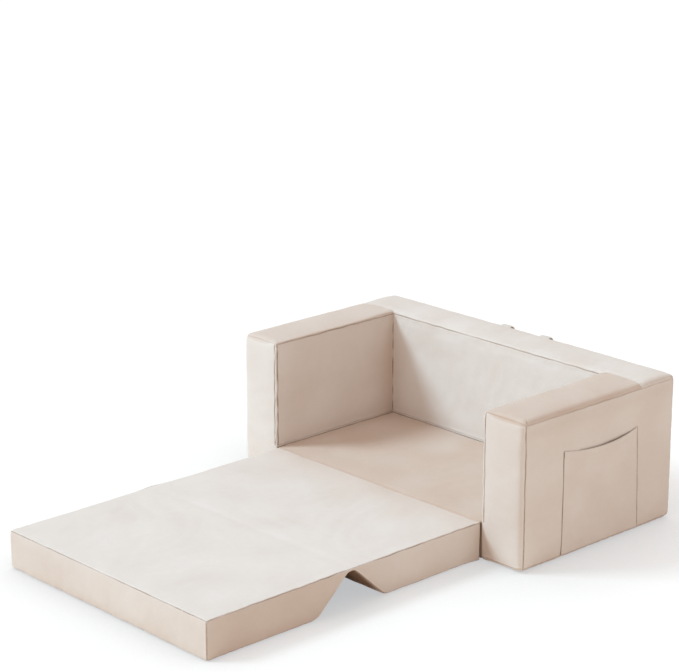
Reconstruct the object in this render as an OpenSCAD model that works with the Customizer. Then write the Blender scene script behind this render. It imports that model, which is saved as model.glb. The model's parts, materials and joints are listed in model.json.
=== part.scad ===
// Fold-out foam chair. Two padded arms and a back make a U-shaped frame round a
// low base cushion. A seat panel is hinged to the base's front top edge and a
// backrest panel to the seat panel. Folded in, the seat panel lies on the base
// and the backrest stands against the back. Folded out, both lie on the floor.
// It is drawn folded out. X runs across the chair, the panels fold out along
// -Y and +Z is up. The origin is at the centre of the frame's underside. Sizes
// along Y are counted from the arms' fronts, and set_down moves them there.

/* [Frame] */
// Width of the frame over both arms
frame_w = 832; // [740:2:960]
// Depth from the fronts of the arms to the rear face
frame_d = 464; // [400:2:540]
// Height of the arms and the back, without their crown
frame_h = 318; // [260:2:380]
// Thickness of an arm
arm_t = 107; // [90:1:130]
// Thickness of the back
back_t = 110; // [90:1:130]

/* [Panels] */
// Thickness of the base cushion and of both panels
panel_t = 82; // [66:1:100]
// Length of the backrest panel
backrest_len = 359; // [300:1:400]
// Gap between a panel and each arm
side_gap = 5; // [4:0.5:9]
// Gap that the folded seat panel leaves to the back
back_gap = 1; // [0.5:0.5:4]
// Height of the hinge lines above the panels' edges, which the crowns rise to
hinge_rise = 1.6; // [1.2:0.1:2.4]
// Half the gap between the hinged faces of the base and the seat panel
hinge_gap = 1.1; // [1.1:0.1:1.6]

/* [Covers] */
// Thickness of the covers with their wadding
cover_t = 6; // [5:0.5:8]
// Radius of the frame's soft edges
edge_r = 12; // [9:0.5:12]
// Radius of the tighter edges of the base and the panels
panel_edge_r = 7; // [5:0.5:9]
// Radius of the upright corners, seen from above
corner_r = 11; // [8:0.5:11]
// Width of the rounding at a hinged edge
hinge_edge = 4; // [2.5:0.5:5]
// Radius of the frame's bottom edge
foot_r = 2; // [1:0.5:2]
// Radius of the tight corners between arms and back
nook_r = 5; // [3:0.5:6]
// Rise of the crown on the tops of the arms and the back
frame_crown = 2.5; // [1:0.5:5]
// Rise of the crown under the panels
sole_crown = 2.5; // [1:0.5:4]
// Depth of the flat that a panel lies on
sole_cut = 0.5; // [0.3:0.1:0.8]
// Bulge of the frame's outer faces
outer_bulge = 2.5; // [0.5:0.5:5]
// Bulge of the arms' inner faces above the base
inner_bulge = 1.5; // [0.5:0.5:2]
// Bulge of the arms' fronts
front_bulge = 2.5; // [0.5:0.5:5]
// Bulge of the panels' sides
side_bulge = 1.5; // [0.5:0.5:1.5]
// Bulge of the mattress's foot end
end_bulge = 3; // [0.5:0.5:5]
// Thickness of the panel sewn in under the frame
underside_t = 2; // [1.5:0.5:3]

/* [Pockets] */
// Width of a pocket
pocket_w = 229; // [160:1:260]
// Distance from the front of the arm to the pocket
pocket_front = 123; // [90:1:150]
// Height of the pocket's mouth at its ends
pocket_h = 231; // [170:1:250]
// Sag of the mouth's edge at its middle
pocket_sag = 12; // [4:1:20]
// How far the mouth stands open
pocket_open = 11; // [8:0.5:16]
// Thickness of the pocket's cloth
pocket_t = 2; // [1.5:0.5:3]
// Extra thickness of the mouth's hem
hem_t = 0.8; // [0.4:0.1:1.5]
// Height of the mouth's hem
hem_h = 15; // [10:1:22]

/* [Handle] */
// Width of the handle's strap
strap_w = 28; // [20:1:36]
// Thickness of the handle's strap
strap_t = 4; // [3:0.5:5]
// Distance between the strap's two ends, centre to centre
strap_span = 114; // [100:1:150]
// How far the handle hangs down from its seam
strap_drop = 76; // [66:1:100]
// Radius of the bend where the strap leaves its seam
strap_bend = 10; // [8:0.5:14]
// Radius of the inner corners of the strap's loop
strap_turn = 12; // [4:1:20]
// Place of the strap's seam on the rounded rear edge, in degrees from level
strap_seam = 60; // [50:1:70]

/* [Zips] */
// Width of one zip tape
tape_w = 12; // [9:0.5:14]
// Thickness of the zip tape
tape_t = 0.8; // [0.6:0.1:1]
// Width of one of the zip's two coils
coil_w = 2.2; // [1.8:0.1:2.6]
// Height of the coils on their tapes
coil_h = 2; // [1.6:0.1:2.2]
// Width of the slot between the coils
coil_slot = 0.9; // [0.9:0.1:1.2]
// Length of a zip slider
slider_len = 9; // [7:0.5:12]
// Wall of a zip slider
slider_wall = 1; // [0.8:0.1:1.2]
// Distance from a panel's sides to its zip
panel_zip_inset = 60; // [40:1:120]
// Distance from the arms' inner faces to the frame's zip
frame_zip_inset = 12; // [10:1:80]
// Height of the frame's zip
frame_zip_z = 34; // [28:1:60]

/* [Hidden] */
$fn = 32;

// Overrun of every cut past the face that it opens
over = 1;
// Clearance between a foam block and the cover that it fills
foam_fit = 0.2;
// Clearance between soft pieces that lie against each other
seat_fit = 0.3;
// Clearance between a panel's crown and the height of its hinge line
fold_fit = 0.4;
// Clearance between a panel's slope and the plane that it folds shut against
slope_fit = 0.2;
// Clearance round a zip slider
run_fit = 0.3;
// Thickness of the web that joins a slider's plates through the slot
slider_web = 0.4;
// Thickness of the hinge cloth
hinge_cloth = 0.7;
// Side of the square hem stops at a zip's ends
stop_len = 3;

inner_x = frame_w / 2 - arm_t;
inner_y = frame_d - back_t;
outer_x = frame_w / 2;
panel_w = 2 * (inner_x - side_gap);
seat_len = inner_y - back_gap;
fold_out = seat_len + backrest_len;
panel_crown = hinge_rise - fold_fit;
edge = min(edge_r, 2 * cover_t);
panel_edge = min(panel_edge_r, 2 * cover_t);
// The slopes stand as far apart as their hinge line lies above them
slope_gap = hinge_rise + slope_fit * sqrt(2);
corner = min(corner_r, edge);

// Steps of the soft forms: an edge's arc, a corner's arc, an upright face,
// the short and long sides of a panel, and the runs of the frame's U
edge_steps = 3;
corner_steps = 3;
face_steps = 4;
short_steps = 4;
long_steps = 6;
arm_steps = 5;
back_steps = 6;
top_steps = 4;
pocket_steps = 12;
// Shares of the way from a face's middle to its edge where its crown has rings
crown_shares = [0.25, 0.55, 0.8];
// Shares of the way from a pocket's bottom to its hem where its section bends
pocket_rise_shares = [0, 0.28, 0.5, 0.69, 0.87, 1];
// Power that moves a pocket's fullest place towards its rear
pocket_lean = 1.4;

cloth = "#e4dbd1";
cloth_shade = "#d9cdc0";
cloth_dark = "#cbbdae";
foam_colour = "#efe6bf";
coil_colour = "#d5cbbd";
metal_colour = "#b9b6ae";

function mix(a, b, t) = a + (b - a) * t;
function arch(t) = 4 * t * (1 - t);
function reversed(list) = [for (i = [len(list) - 1:-1:0]) list[i]];
function total(list, i = 0) = i == len(list) - 1 ? list[i] : list[i] + total(list, i + 1);
function centre(list) = total(list) / len(list);

// A closed skin over a row of rings that all have as many points
module skin(rings) {
    n = len(rings[0]);
    last = len(rings) - 1;
    first_hub = n * (last + 1);
    points = concat([for (ring = rings) each ring], [centre(rings[0]), centre(rings[last])]);
    walls = [
        for (i = [0:last - 1], j = [0:n - 1])
        let (a = i * n + j, b = i * n + (j + 1) % n, c = a + n, d = b + n)
        each [[a, c, b], [b, c, d]]
    ];
    hubs = [
        for (j = [0:n - 1])
        let (k = (j + 1) % n)
        each [[first_hub, j, k], [first_hub + 1, last * n + k, last * n + j]]
    ];
    polyhedron(points = points, faces = concat(walls, hubs), convexity = 8);
}

// One level outline of a padded block, from above, anticlockwise from its right
// front corner. The sides come in the order right, rear, left, front.
function block_ring(low, high, insets, bulges, round, shrink, z) =
    let (
        centres = [
            [high.x - insets[0] - round, low.y + insets[3] + round],
            [high.x - insets[0] - round, high.y - insets[1] - round],
            [low.x + insets[2] + round, high.y - insets[1] - round],
            [low.x + insets[2] + round, low.y + insets[3] + round],
        ],
        steps = [short_steps, long_steps, short_steps, long_steps],
        middle = (low + high) / 2,
        outline = [
            for (k = [0:3])
            let (out = [cos(90 * k), sin(90 * k)])
            each concat(
                [
                    for (i = [0:corner_steps])
                    let (a = 90 * (k - 1 + i / corner_steps))
                    centres[k] + round * [cos(a), sin(a)]
                ],
                [
                    for (i = [1:steps[k] - 1])
                    mix(centres[k], centres[(k + 1) % 4], i / steps[k])
                        + out * (round + bulges[k] * arch(i / steps[k]))
                ]
            )
        ]
    )
    [for (p = outline) let (q = mix(middle, p, shrink)) [q.x, q.y, z]];

// The levels of a padded block, from the middle of its sole to the middle of
// its top: height, share of the edge's width that it is inset, shrink
function block_levels(bottom, top, sole, foot, crown) =
    let (rim = sole > 0 ? bottom + sole - sole_cut : bottom)
    concat(
        [for (s = crown_shares) [max(bottom, rim - sole * (1 - s * s)), foot / panel_edge, s]],
        [
            for (i = [0:edge_steps])
            let (a = 90 * i / edge_steps)
            [rim + foot * (1 - cos(a)), foot / panel_edge * (1 - sin(a)), 1]
        ],
        [for (i = [1:face_steps - 1]) [mix(rim + foot, top - panel_edge, i / face_steps), 0, 1]],
        [
            for (i = [edge_steps:-1:0])
            let (a = 90 * i / edge_steps)
            [top - panel_edge * (1 - cos(a)), 1 - sin(a), 1]
        ],
        [for (s = reversed(crown_shares)) [top + crown * (1 - s * s), 1, s]]
    );

// A padded block with soft edges and crowned faces. Its front and rear ends can
// slope inwards to the bottom, as many mm for each mm of depth as bevels says.
module padded_block(low, high, edges, bulges, round, sole, foot, bevels = [0, 0]) {
    skin([
        for (level = block_levels(low.z, high.z, sole, foot, panel_crown))
        let (
            depth = max(0, high.z - level[0]),
            swell = arch(min(1, depth / (high.z - low.z))),
            from = [low.x, low.y + bevels[0] * depth],
            to = [high.x, high.y - bevels[1] * depth]
        )
        block_ring(from, to, edges * level[1], bulges * swell, round, level[2], level[0])
    ]);
}

// Places where the frame's padded wall is cut across, from the left arm's front
// round the back to the right arm's: its outer and inner points and the bulge
// that each face has there
function arm_place(side, y) = [
    [side * outer_x, y], [side * inner_x, y],
    [side * outer_bulge * arch(y / frame_d), 0],
    [-side * inner_bulge * arch(y / inner_y), 0],
];
function nook_places() = [
    for (i = [0:corner_steps + 2])
    let (
        a = 180 - 90 * (i - 1) / corner_steps,
        b = 90 * i / (corner_steps + 2),
        inner = [-inner_x + nook_r * (1 - cos(b)), inner_y - nook_r * (1 - sin(b))]
    )
    i == 0 ? [[-outer_x, inner_y - nook_r], inner, [-outer_bulge * arch(inner_y / frame_d), 0], [0, 0]]
    : i == corner_steps + 2
    ? [[-inner_x + nook_r, frame_d], inner, [0, outer_bulge * arch(arm_t / frame_w)], [0, 0]]
    : [[-outer_x + corner * (1 + cos(a)), frame_d - corner * (1 - sin(a))], inner, [0, 0], [0, 0]]
];
function back_place(x) = [
    [x, frame_d], [x, inner_y], [0, outer_bulge * arch((x + outer_x) / frame_w)], [0, 0],
];
function mirrored(place) = [for (p = place) [-p.x, p.y]];

// The padded wall's section: share of the way from its outer to its inner face,
// and height
function wall_section() =
    let (
        half = concat(
            [
                for (i = [0:edge_steps])
                let (a = 90 * i / edge_steps)
                [foot_r / arm_t * (1 - sin(a)), underside_t + foot_r * (1 - cos(a))]
            ],
            [for (i = [1:face_steps - 1]) [0, mix(underside_t + foot_r, frame_h - edge, i / face_steps)]],
            [
                for (i = [0:edge_steps])
                let (a = 90 * i / edge_steps)
                [edge / arm_t * (1 - cos(a)), frame_h - edge * (1 - sin(a))]
            ]
        ),
        rim = edge / arm_t
    )
    concat(
        half,
        [
            for (i = [1:top_steps - 1])
            let (t = i / top_steps)
            [mix(rim, 1 - rim, t), frame_h + frame_crown * arch(t)]
        ],
        [for (p = reversed(half)) [1 - p[0], p[1]]]
    );

// The section at one place, drawn in from its edges and shrunk about its middle
// where it closes the front of an arm
function wall_ring(place, inset, shrink, y) = [
    for (p = wall_section())
    let (
        height = frame_h - underside_t,
        up = (p[1] - underside_t) / height,
        above = max(0, (p[1] - panel_t) / (frame_h - panel_t)),
        share = 0.5 + (p[0] - 0.5) * (1 - 2 * inset / arm_t) * shrink,
        z = mix(underside_t + height / 2, underside_t + up * (height - inset), shrink),
        bulge = p[0] < 0.5 ? place[2] * max(0, arch(up)) : place[3] * max(0, arch(above)),
        xy = mix(place[0], place[1], share) + bulge
    )
    [xy.x, xy.y + y, z]
];

// The rings that close the front of an arm, from the middle of its front
function front_rings(side) = concat(
    [for (s = crown_shares) wall_ring(arm_place(side, 0), edge, s, -front_bulge * (1 - s * s))],
    [
        for (i = [0:edge_steps - 1])
        let (a = 90 * i / edge_steps)
        wall_ring(arm_place(side, 0), edge * (1 - sin(a)), 1, edge * (1 - cos(a)))
    ]
);

// The U of both arms and the back, as one padded wall
module padded_wall() {
    arm_rings = [
        for (i = [0:arm_steps - 1])
        wall_ring(arm_place(-1, mix(edge, inner_y - nook_r, i / arm_steps)), 0, 1, 0)
    ];
    nook_rings = [for (place = nook_places()) wall_ring(place, 0, 1, 0)];
    back_rings = [
        for (i = [1:back_steps - 1])
        wall_ring(back_place(mix(-inner_x + nook_r, inner_x - nook_r, i / back_steps)), 0, 1, 0)
    ];
    skin(concat(
        front_rings(-1), arm_rings, nook_rings, back_rings,
        reversed([for (place = nook_places()) wall_ring(mirrored(place), 0, 1, 0)]),
        [
            for (i = [arm_steps - 1:-1:0])
            wall_ring(arm_place(1, mix(edge, inner_y - nook_r, i / arm_steps)), 0, 1, 0)
        ],
        reversed(front_rings(1))
    ));
}

// Foam blocks, drawn grown by some clearance where their covers are hollowed
module arm_core(side, grow) {
    across = arm_t - 2 * cover_t + 2 * grow;
    along = frame_d - 2 * cover_t + 2 * grow;
    tall = frame_h - cover_t - underside_t + grow;
    translate([side * (outer_x - arm_t / 2) - across / 2, cover_t - grow, underside_t])
        cube([across, along, tall]);
}

module back_core(grow) {
    across = 2 * (inner_x + cover_t - foam_fit);
    along = back_t - 2 * cover_t + 2 * grow;
    tall = frame_h - cover_t - underside_t + grow;
    translate([-across / 2, inner_y + cover_t - grow, underside_t])
        cube([across, along, tall]);
}

module base_core(grow) {
    across = 2 * (inner_x - seat_fit - cover_t + grow);
    front = hinge_gap + cover_t - grow;
    tall = panel_t - cover_t - underside_t + grow;
    translate([-across / 2, front, underside_t])
        cube([across, inner_y - seat_fit - cover_t + grow - front, tall]);
}

// A folding panel's foam, from the outline of its side. Both its covered ends
// and its slope stand back by the cover.
module panel_core(front, rear, bevels, grow) {
    inset = cover_t - grow;
    slope_inset = inset * sqrt(2);
    low = inset + sole_crown - sole_cut;
    high = panel_t - inset;
    function end_y(y, dir, bevel, z) =
        bevel > 0 ? y + dir * (panel_t - z + slope_inset) : y + dir * inset;
    across = panel_w - 2 * inset;
    translate([-across / 2, 0, 0])
        rotate([90, 0, 90])
            linear_extrude(across)
                polygon([
                    [end_y(front, 1, bevels[0], low), low],
                    [end_y(rear, -1, bevels[1], low), low],
                    [end_y(rear, -1, bevels[1], high), high],
                    [end_y(front, 1, bevels[0], high), high],
                ]);
}

// A zip's pieces lie in its own frame: X along it, Z out of the cover's face
module at_seat_slope() {
    translate([0, -seat_len + slope_gap + panel_t / 2, panel_t / 2])
        rotate([135, 0, 0])
            children();
}

module at_backrest_slope() {
    translate([0, -seat_len - slope_gap - panel_t / 2, panel_t / 2])
        rotate([-135, 0, 0])
            children();
}

module at_frame_zip() {
    translate([0, frame_d, frame_zip_z])
        rotate([-90, 0, 0])
            children();
}

panel_zip_len = panel_w - 2 * panel_zip_inset;
frame_zip_len = 2 * (inner_x - frame_zip_inset);
coils_w = 2 * coil_w + coil_slot;
slider_w = coils_w + 2 * run_fit + 2 * slider_wall;
slider_top = coil_h + run_fit + slider_wall;
slider_under = tape_t + run_fit + slider_wall;

// The slit in a cover, as wide as the slider needs
module zip_slit(length) {
    translate([-length / 2, -slider_w / 2 - run_fit, -cover_t - over])
        cube([length, slider_w + 2 * run_fit, cover_t + 4 * over]);
}

// The groove in the foam behind a zip: shallow for the tapes, deeper in the
// middle for the slider
module zip_groove(length) {
    tapes = 2 * tape_w + coil_slot + 2 * run_fit;
    long = length + 2 * run_fit;
    translate([-long / 2, -tapes / 2, -cover_t - tape_t - run_fit])
        cube([long, tapes, tape_t + run_fit + over]);
    translate([-long / 2, -slider_w / 2 - run_fit, -cover_t - slider_under - run_fit])
        cube([long, slider_w + 2 * run_fit, slider_under + run_fit + over]);
}

module zip_tape(length) {
    for (side = [-1, 1])
        translate([-length / 2, side * (coil_slot + tape_w) / 2 - tape_w / 2, -cover_t - tape_t])
            cube([length, tape_w, tape_t]);
}

// The two coils, and the stops that close them at both ends
module zip_coil(length) {
    inner = length - 2 * stop_len;
    for (side = [-1, 1])
        translate([-inner / 2, side * (coil_slot + coil_w) / 2 - coil_w / 2, -cover_t])
            cube([inner, coil_w, coil_h]);
    for (end = [-1, 1])
        translate([end * (length - stop_len) / 2 - stop_len / 2, -coils_w / 2, -cover_t])
            cube([stop_len, coils_w, coil_h]);
}

// A slider without a pull: two flanged plates with the coils between them,
// joined by a web through the slot
module zip_slider(length) {
    nose = length / 2 - stop_len - run_fit;
    web_len = slider_len / 3;
    translate([nose - slider_len, 0, -cover_t]) {
        difference() {
            translate([0, -slider_w / 2, -slider_under])
                cube([slider_len, slider_w, slider_under + slider_top]);
            translate([-over, -coils_w / 2 - run_fit, -tape_t - run_fit])
                cube([slider_len + 2 * over, coils_w + 2 * run_fit, tape_t + coil_h + 2 * run_fit]);
            translate([-over, -slider_w / 2 - over, -tape_t - run_fit])
                cube([slider_len + 2 * over, slider_w + 2 * over, tape_t + 2 * run_fit]);
        }
        translate([slider_len - web_len, -slider_web / 2, -tape_t - run_fit])
            cube([web_len, slider_web, tape_t + coil_h + 2 * run_fit]);
    }
}

module set_down() {
    translate([0, -frame_d / 2, 0]) children();
}

module left_arm_foam() {
    color(foam_colour) set_down() arm_core(-1, 0);
}

module right_arm_foam() {
    color(foam_colour) set_down() arm_core(1, 0);
}

module back_foam() {
    color(foam_colour) set_down()
        difference() {
            back_core(0);
            at_frame_zip() zip_groove(frame_zip_len);
        }
}

module base_foam() {
    color(foam_colour) set_down() base_core(0);
}

module frame_cover() {
    color(cloth) set_down()
        difference() {
            padded_wall();
            translate([0, 0, -over]) {
                arm_core(-1, foam_fit);
                arm_core(1, foam_fit);
                back_core(foam_fit);
            }
            arm_core(-1, foam_fit);
            arm_core(1, foam_fit);
            back_core(foam_fit);
            at_frame_zip() zip_slit(frame_zip_len);
        }
}

module base_cover() {
    side = inner_x - seat_fit;
    color(cloth_shade) set_down()
        difference() {
            padded_block(
                [-side, hinge_gap, underside_t], [side, inner_y - seat_fit, panel_t],
                [panel_edge, panel_edge, panel_edge, hinge_edge], [0, 0, 0, 0], nook_r, 0, foot_r
            );
            translate([0, 0, -over]) base_core(foam_fit);
            base_core(foam_fit);
        }
}

// The sewn-in panel that closes the frame from below, with round corners
module underside_panel() {
    inset = foot_r;
    x = outer_x - inset;
    long = frame_d - 2 * inset;
    color(cloth_dark) set_down()
        translate([0, inset, 0])
            linear_extrude(underside_t) {
                translate([-x + corner, 0]) square([2 * (x - corner), long]);
                translate([-x, corner]) square([2 * x, long - 2 * corner]);
                for (end_x = [corner - x, x - corner], end_y = [corner, long - corner])
                    translate([end_x, end_y]) circle(corner);
            }
}

// The arm's outer face, and how far the pocket's cloth stands off it. The mouth
// stands open most behind its middle.
function arm_face(y, z) =
    outer_x + outer_bulge * arch(y / frame_d) * arch((z - underside_t) / (frame_h - underside_t));
function pocket_stand(along, up) = pocket_open * arch(pow(along, pocket_lean)) * up * up;

// One upright section of the pocket: its outer face going up and then its inner
// face going down, with the hem as a thicker band under the mouth
function pocket_ring(along) =
    let (
        y = pocket_front + pocket_w * along,
        low = underside_t + foot_r,
        mouth = pocket_h - pocket_sag * arch(along),
        hem = mouth - hem_h,
        rise = concat(
            [for (s = pocket_rise_shares) [mix(low, hem, s), pocket_t]],
            [[hem + hem_t, pocket_t + hem_t], [mouth, pocket_t + hem_t]]
        ),
        face = [
            for (p = rise)
            let (x = arm_face(y, p[0]) + seat_fit + pocket_stand(along, (p[0] - low) / (mouth - low)))
            [x, p[0], p[1]]
        ]
    )
    concat(
        [for (p = face) [p[0] + p[2], y, p[1]]],
        [for (p = reversed(face)) [p[0], y, p[1]]]
    );

module pocket(side) {
    color(cloth) set_down()
        mirror([side < 0 ? 1 : 0, 0, 0])
            skin([for (i = [pocket_steps:-1:0]) pocket_ring(i / pocket_steps)]);
}

module left_pocket() {
    pocket(-1);
}

module right_pocket() {
    pocket(1);
}

// The strap is sewn into the rounded rear top edge and swings about that seam
strap_stand = edge + seat_fit + strap_t / 2;
strap_y = frame_d - edge + strap_stand * cos(strap_seam);
strap_z = frame_h - edge + strap_stand * sin(strap_seam);

// A flat tongue hanging from one level to another, with round lower corners
module tongue(half, round, bottom, top) {
    translate([-half, bottom + round]) square([2 * half, top - bottom - round]);
    translate([round - half, bottom]) square([2 * (half - round), top - bottom]);
    for (side = [-1, 1])
        translate([side * (half - round), bottom + round]) circle(round);
}

module carry_handle() {
    leg = strap_drop - strap_bend;
    color(cloth_shade) set_down()
        translate([0, strap_y, strap_z]) {
            translate([0, strap_bend + strap_t / 2, -strap_bend])
                rotate([90, 0, 0])
                    linear_extrude(strap_t)
                        difference() {
                            tongue((strap_span + strap_w) / 2, strap_w + strap_turn, -leg, 0);
                            tongue((strap_span - strap_w) / 2, strap_turn, strap_w - leg, over);
                        }
            for (side = [-1, 1])
                translate([side * strap_span / 2 - strap_w / 2, 0, 0]) {
                    translate([0, 0, -strap_bend])
                        rotate([90, 0, 90])
                            linear_extrude(strap_w)
                                intersection() {
                                    difference() {
                                        circle(strap_bend + strap_t / 2);
                                        circle(strap_bend - strap_t / 2);
                                    }
                                    square(strap_bend + strap_t);
                                }
                    rotate([0, 90, 0]) cylinder(h = strap_w, d = strap_t);
                }
        }
}

// Cloth that bridges two hinged edges, bent about the hinge line. It meets each
// edge where that stands out furthest, and an edge on a slope stands back more.
hinge_drop = panel_edge * (1 - cos(90 / edge_steps));
function hinge_reach(gap, bevel) =
    gap + hinge_edge * (1 - sin(90 / edge_steps)) + bevel * hinge_drop - seat_fit;

module hinge_strip(reach) {
    below = hinge_rise + hinge_drop;
    bow = norm([reach, below]);
    long = panel_w - 2 * corner - 2 * panel_edge;
    translate([-long / 2, 0, panel_t + hinge_rise])
        rotate([90, 0, 90])
            linear_extrude(long)
                intersection() {
                    difference() {
                        circle(bow);
                        circle(bow - hinge_cloth);
                    }
                    translate([-reach, -bow - over]) square([2 * reach, bow + over - below]);
                }
}

module front_hinge() {
    color(cloth_shade) set_down() hinge_strip(hinge_reach(hinge_gap, 0));
}

module middle_hinge() {
    color(cloth_shade) set_down() translate([0, -seat_len, 0]) hinge_strip(hinge_reach(slope_gap, 1));
}

module seat_foam() {
    color(foam_colour) set_down()
        difference() {
            panel_core(-seat_len + slope_gap, -hinge_gap, [1, 0], 0);
            at_seat_slope() zip_groove(panel_zip_len);
        }
}

module seat_cover() {
    color(cloth) set_down()
        difference() {
            padded_block(
                [-panel_w / 2, -seat_len + slope_gap, 0], [panel_w / 2, -hinge_gap, panel_t],
                [panel_edge, hinge_edge, panel_edge, hinge_edge], [side_bulge, 0, side_bulge, 0],
                corner, sole_crown, panel_edge, [1, 0]
            );
            panel_core(-seat_len + slope_gap, -hinge_gap, [1, 0], foam_fit);
            at_seat_slope() zip_slit(panel_zip_len);
        }
}

module backrest_foam() {
    color(foam_colour) set_down()
        difference() {
            panel_core(-fold_out, -seat_len - slope_gap, [0, 1], 0);
            at_backrest_slope() zip_groove(panel_zip_len);
        }
}

module backrest_cover() {
    color(cloth) set_down()
        difference() {
            padded_block(
                [-panel_w / 2, -fold_out, 0], [panel_w / 2, -seat_len - slope_gap, panel_t],
                [panel_edge, hinge_edge, panel_edge, panel_edge], [side_bulge, 0, side_bulge, end_bulge],
                corner, sole_crown, panel_edge, [0, 1]
            );
            panel_core(-fold_out, -seat_len - slope_gap, [0, 1], foam_fit);
            at_backrest_slope() zip_slit(panel_zip_len);
        }
}

module frame_zip_tape() {
    color(cloth_dark) set_down() at_frame_zip() zip_tape(frame_zip_len);
}

module frame_zip_coil() {
    color(coil_colour) set_down() at_frame_zip() zip_coil(frame_zip_len);
}

module frame_zip_slider() {
    color(metal_colour) set_down() at_frame_zip() zip_slider(frame_zip_len);
}

module seat_zip_tape() {
    color(cloth_dark) set_down() at_seat_slope() zip_tape(panel_zip_len);
}

module seat_zip_coil() {
    color(coil_colour) set_down() at_seat_slope() zip_coil(panel_zip_len);
}

module seat_zip_slider() {
    color(metal_colour) set_down() at_seat_slope() zip_slider(panel_zip_len);
}

module backrest_zip_tape() {
    color(cloth_dark) set_down() at_backrest_slope() zip_tape(panel_zip_len);
}

module backrest_zip_coil() {
    color(coil_colour) set_down() at_backrest_slope() zip_coil(panel_zip_len);
}

module backrest_zip_slider() {
    color(metal_colour) set_down() at_backrest_slope() zip_slider(panel_zip_len);
}

left_arm_foam();
right_arm_foam();
back_foam();
base_foam();
frame_cover();
base_cover();
underside_panel();
left_pocket();
right_pocket();
carry_handle();
front_hinge();
seat_foam();
seat_cover();
middle_hinge();
backrest_foam();
backrest_cover();
frame_zip_tape();
frame_zip_coil();
frame_zip_slider();
seat_zip_tape();
seat_zip_coil();
seat_zip_slider();
backrest_zip_tape();
backrest_zip_coil();
backrest_zip_slider();
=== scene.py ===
"""A fold-out foam chair, folded out, dressed in soft cloth over its CAD frame.

Lengths are in metres, in the frame's own axes: X across, Y to the back, Z up.
"""

import json
import math

import bpy
import numpy as np
from mathutils.kdtree import KDTree
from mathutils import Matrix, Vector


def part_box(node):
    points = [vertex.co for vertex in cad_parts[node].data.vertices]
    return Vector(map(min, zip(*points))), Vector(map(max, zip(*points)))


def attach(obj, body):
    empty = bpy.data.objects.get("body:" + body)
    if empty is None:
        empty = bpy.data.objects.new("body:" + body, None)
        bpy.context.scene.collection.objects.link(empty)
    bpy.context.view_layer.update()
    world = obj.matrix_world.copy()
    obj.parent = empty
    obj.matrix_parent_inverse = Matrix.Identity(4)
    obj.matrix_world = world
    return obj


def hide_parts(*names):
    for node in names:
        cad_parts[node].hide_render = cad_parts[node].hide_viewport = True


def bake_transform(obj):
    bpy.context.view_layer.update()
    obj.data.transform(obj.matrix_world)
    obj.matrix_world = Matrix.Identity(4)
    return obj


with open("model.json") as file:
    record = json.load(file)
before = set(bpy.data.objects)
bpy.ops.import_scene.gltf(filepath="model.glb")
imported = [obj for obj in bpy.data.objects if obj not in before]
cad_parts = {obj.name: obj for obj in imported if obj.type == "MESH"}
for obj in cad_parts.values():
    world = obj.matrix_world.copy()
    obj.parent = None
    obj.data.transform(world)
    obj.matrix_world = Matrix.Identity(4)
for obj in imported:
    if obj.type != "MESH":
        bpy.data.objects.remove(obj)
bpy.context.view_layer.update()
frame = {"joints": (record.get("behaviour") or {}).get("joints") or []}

# Lengths of the covers, from the frame's foam blocks and their cover's thickness
COVER = 0.006
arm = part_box("right_arm_foam")
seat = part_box("seat_foam")
joints = {j["name"]: j for j in frame["joints"]}
OUTER = arm[1].x + COVER
INNER = arm[0].x - COVER
FRONT = arm[0].y - COVER
REAR = arm[1].y + COVER
TOP = arm[1].z + COVER
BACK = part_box("back_foam")[0].y - COVER
PANEL_SIDE = seat[1].x + COVER + 0.001
PANEL_TOP = seat[1].z + COVER
PANEL_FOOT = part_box("backrest_foam")[0].y - COVER
PANEL_REAR = seat[1].y + COVER
base_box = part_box("base_cover")
BASE_SIDE, BASE_FRONT, BASE_REAR = base_box[1].x, base_box[0].y, base_box[1].y
HINGE = joints["back_fold"]["pos_m"]
FRONT_HINGE = joints["seat_fold"]["pos_m"]
STRAP_AXIS = joints["handle_swing"]["pos_m"]

# The covers stand on the floor or on the panel sewn in under the frame
FRAME_SOLE = 0.0012
BASE_SOLE = 0.002
PANEL_SOLE = 0.0004
BASE_LOW, BASE_HIGH = (-BASE_SIDE, BASE_FRONT, BASE_SOLE), (BASE_SIDE, BASE_REAR, PANEL_TOP)
PANEL_LOW = (-PANEL_SIDE, PANEL_FOOT, PANEL_SOLE)
PANEL_HIGH = (PANEL_SIDE, PANEL_REAR, PANEL_TOP)
# The soft edges, tighter round the nook, and where on them the seams lie
FRAME_ROUND = 0.0145
NOOK_ROUND = 0.005
PANEL_ROUND = 0.006
HINGE_ROUND = 0.003
FOAM_ROUND = 0.0105
FOAM_RAISE = 0.0015
SEAM_IN = 0.0088
NOOK_SEAM_IN = 0.0045
LIP_IN = 0.0048
STRAP_SEAM_IN = 0.005
CRACK_Z = PANEL_TOP + 0.0022
# Crowns and bulges of the faces
OUTER_BULGE = 0.0022
INNER_BULGE = 0.0012
FRONT_BULGE = 0.0022
FRAME_CROWN = 0.0024
PANEL_CROWN = 0.0009
PANEL_BULGE = 0.0006
FOOT_BULGE = 0.0025
# The notch under the middle hinge: the height of its blunt top, the height that
# its slopes aim at, and how far they reach on the floor
NOTCH_TOP = PANEL_TOP - 0.0100
NOTCH_AIM = PANEL_TOP - 0.002
NOTCH_REACH = 0.084
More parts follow.
